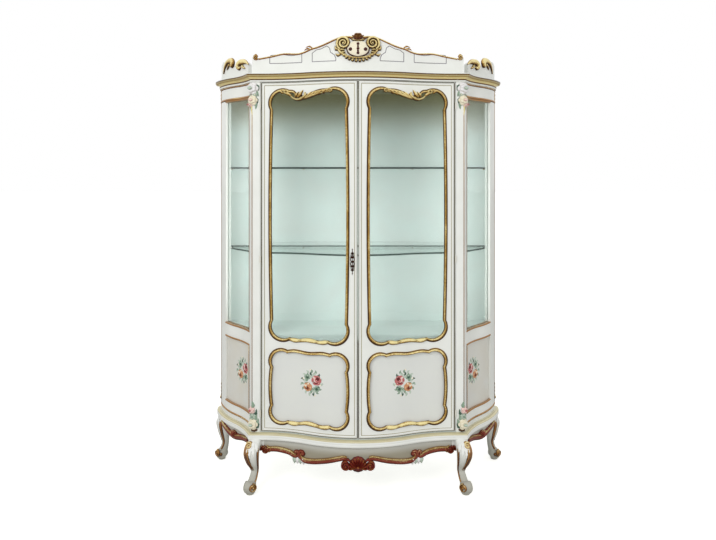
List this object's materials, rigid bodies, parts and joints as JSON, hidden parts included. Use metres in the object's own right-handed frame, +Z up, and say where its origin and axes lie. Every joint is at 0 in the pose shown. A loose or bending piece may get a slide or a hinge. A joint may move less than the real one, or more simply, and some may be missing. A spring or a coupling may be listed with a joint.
{
  "type": "display cabinet",
  "caption": "Ivory and gilt rococo display cabinet with a serpentine glazed front, canted curved sides, carved crest and cabriole legs; its doors swing, lock and bolt.",
  "frame": {"origin": "on the floor, under the middle of the bounding box", "axes": "+Z up, +X to the right as seen from the front, -Y out of the front, so the back is towards +Y"},
  "size_m": [1.573, 0.4932, 2.256],
  "materials": {
    "ivory_lacquer": "ivory lacquer on carved wood",
    "mint_interior": "pale grey-green paint",
    "painted_panel": "grey-white lacquer with painted roses",
    "gold_leaf": "antique gold leaf on carved wood",
    "red_bole": "dark red lacquer with worn gilding",
    "painted_carving": "carved flowers in pink, white and green",
    "clear_glass": "clear",
    "brass": "polished",
    "ivory_brass": "painted ivory",
    "dark_bronze": "dark patina"
  },
  "bodies": {
    "carcase": {"front_apron": "ivory_lacquer", "rear_rail": "ivory_lacquer", "front_base_moulding": "ivory_lacquer", "side_base_mouldings": "ivory_lacquer", "bottom_board": "mint_interior", "display_floor": "mint_interior", "back_panel": "mint_interior", "door_head_rail": "ivory_lacquer", "top_board": "ivory_lacquer", "front_cornice": "gold_leaf", "side_cornices": "gold_leaf", "crest_board": "ivory_lacquer", "crest_cartouche": "gold_leaf", "apron_shell": "red_bole", "post_flowers": "painted_carving", "glass_shelves": "clear_glass", "shelf_pins": "brass", "hinge_post_halves": "ivory_brass", "hinge_pins": "ivory_brass", "left_front_leg": "ivory_lacquer", "right_front_leg": "ivory_lacquer", "left_rear_leg": "ivory_lacquer", "right_rear_leg": "ivory_lacquer", "left_side_apron": "ivory_lacquer", "right_side_apron": "ivory_lacquer", "left_front_post": "ivory_lacquer", "right_front_post": "ivory_lacquer", "left_rear_stile": "ivory_lacquer", "right_rear_stile": "ivory_lacquer", "left_side_rails": "ivory_lacquer", "right_side_rails": "ivory_lacquer", "left_side_glass": "clear_glass", "right_side_glass": "clear_glass", "left_side_panel": "painted_panel", "right_side_panel": "painted_panel", "left_side_crest": "ivory_lacquer", "right_side_crest": "ivory_lacquer"},
    "left_door": {"left_door_lock_stile": "ivory_lacquer", "left_door_hinge_stile": "ivory_lacquer", "left_door_rails": "ivory_lacquer", "left_door_glass": "clear_glass", "left_door_panel": "painted_panel", "left_door_beads": "ivory_lacquer", "left_door_gilt_mouldings": "gold_leaf", "left_door_hinge_halves": "ivory_brass", "lock_case": "brass", "escutcheon": "dark_bronze"},
    "right_door": {"right_door_lock_stile": "ivory_lacquer", "right_door_hinge_stile": "ivory_lacquer", "right_door_rails": "ivory_lacquer", "right_door_glass": "clear_glass", "right_door_panel": "painted_panel", "right_door_beads": "ivory_lacquer", "right_door_gilt_mouldings": "gold_leaf", "right_door_hinge_halves": "ivory_brass", "door_bolt_fittings": "brass"},
    "key": {"key": "dark_bronze"},
    "lock_bolt": {"lock_bolt": "brass"},
    "upper_bolt": {"upper_door_bolt": "brass"},
    "lower_bolt": {"lower_door_bolt": "brass"}
  },
  "joints": [
    {"name": "left_door_swing", "type": "hinge", "parent": "carcase", "child": "left_door", "pos_m": [-0.48875, -0.12325, 1.145], "axis": [0, 0, -1], "range_deg": [0, 100]},
    {"name": "right_door_swing", "type": "hinge", "parent": "carcase", "child": "right_door", "pos_m": [0.48875, -0.12325, 1.145], "axis": [0, 0, 1], "range_deg": [0, 100]},
    {"name": "key_turn", "type": "hinge", "parent": "left_door", "child": "key", "pos_m": [-0.0275, -0.21465, 1.145], "axis": [0, 1, 0], "range_deg": [0, 180]},
    {"name": "lock_bolt_slide", "type": "slide", "parent": "left_door", "child": "lock_bolt", "axis": [1, 0, 0], "range_m": [0, 0.009]},
    {"name": "upper_bolt_slide", "type": "slide", "parent": "right_door", "child": "upper_bolt", "axis": [0, 0, 1], "range_m": [0, 0.02]},
    {"name": "lower_bolt_slide", "type": "slide", "parent": "right_door", "child": "lower_bolt", "axis": [0, 0, -1], "range_m": [0, 0.02]}
  ],
  "couplings": [
    {"joint": "lock_bolt_slide", "follows": "key_turn", "m_per_rad": 0.00286}
  ]
}
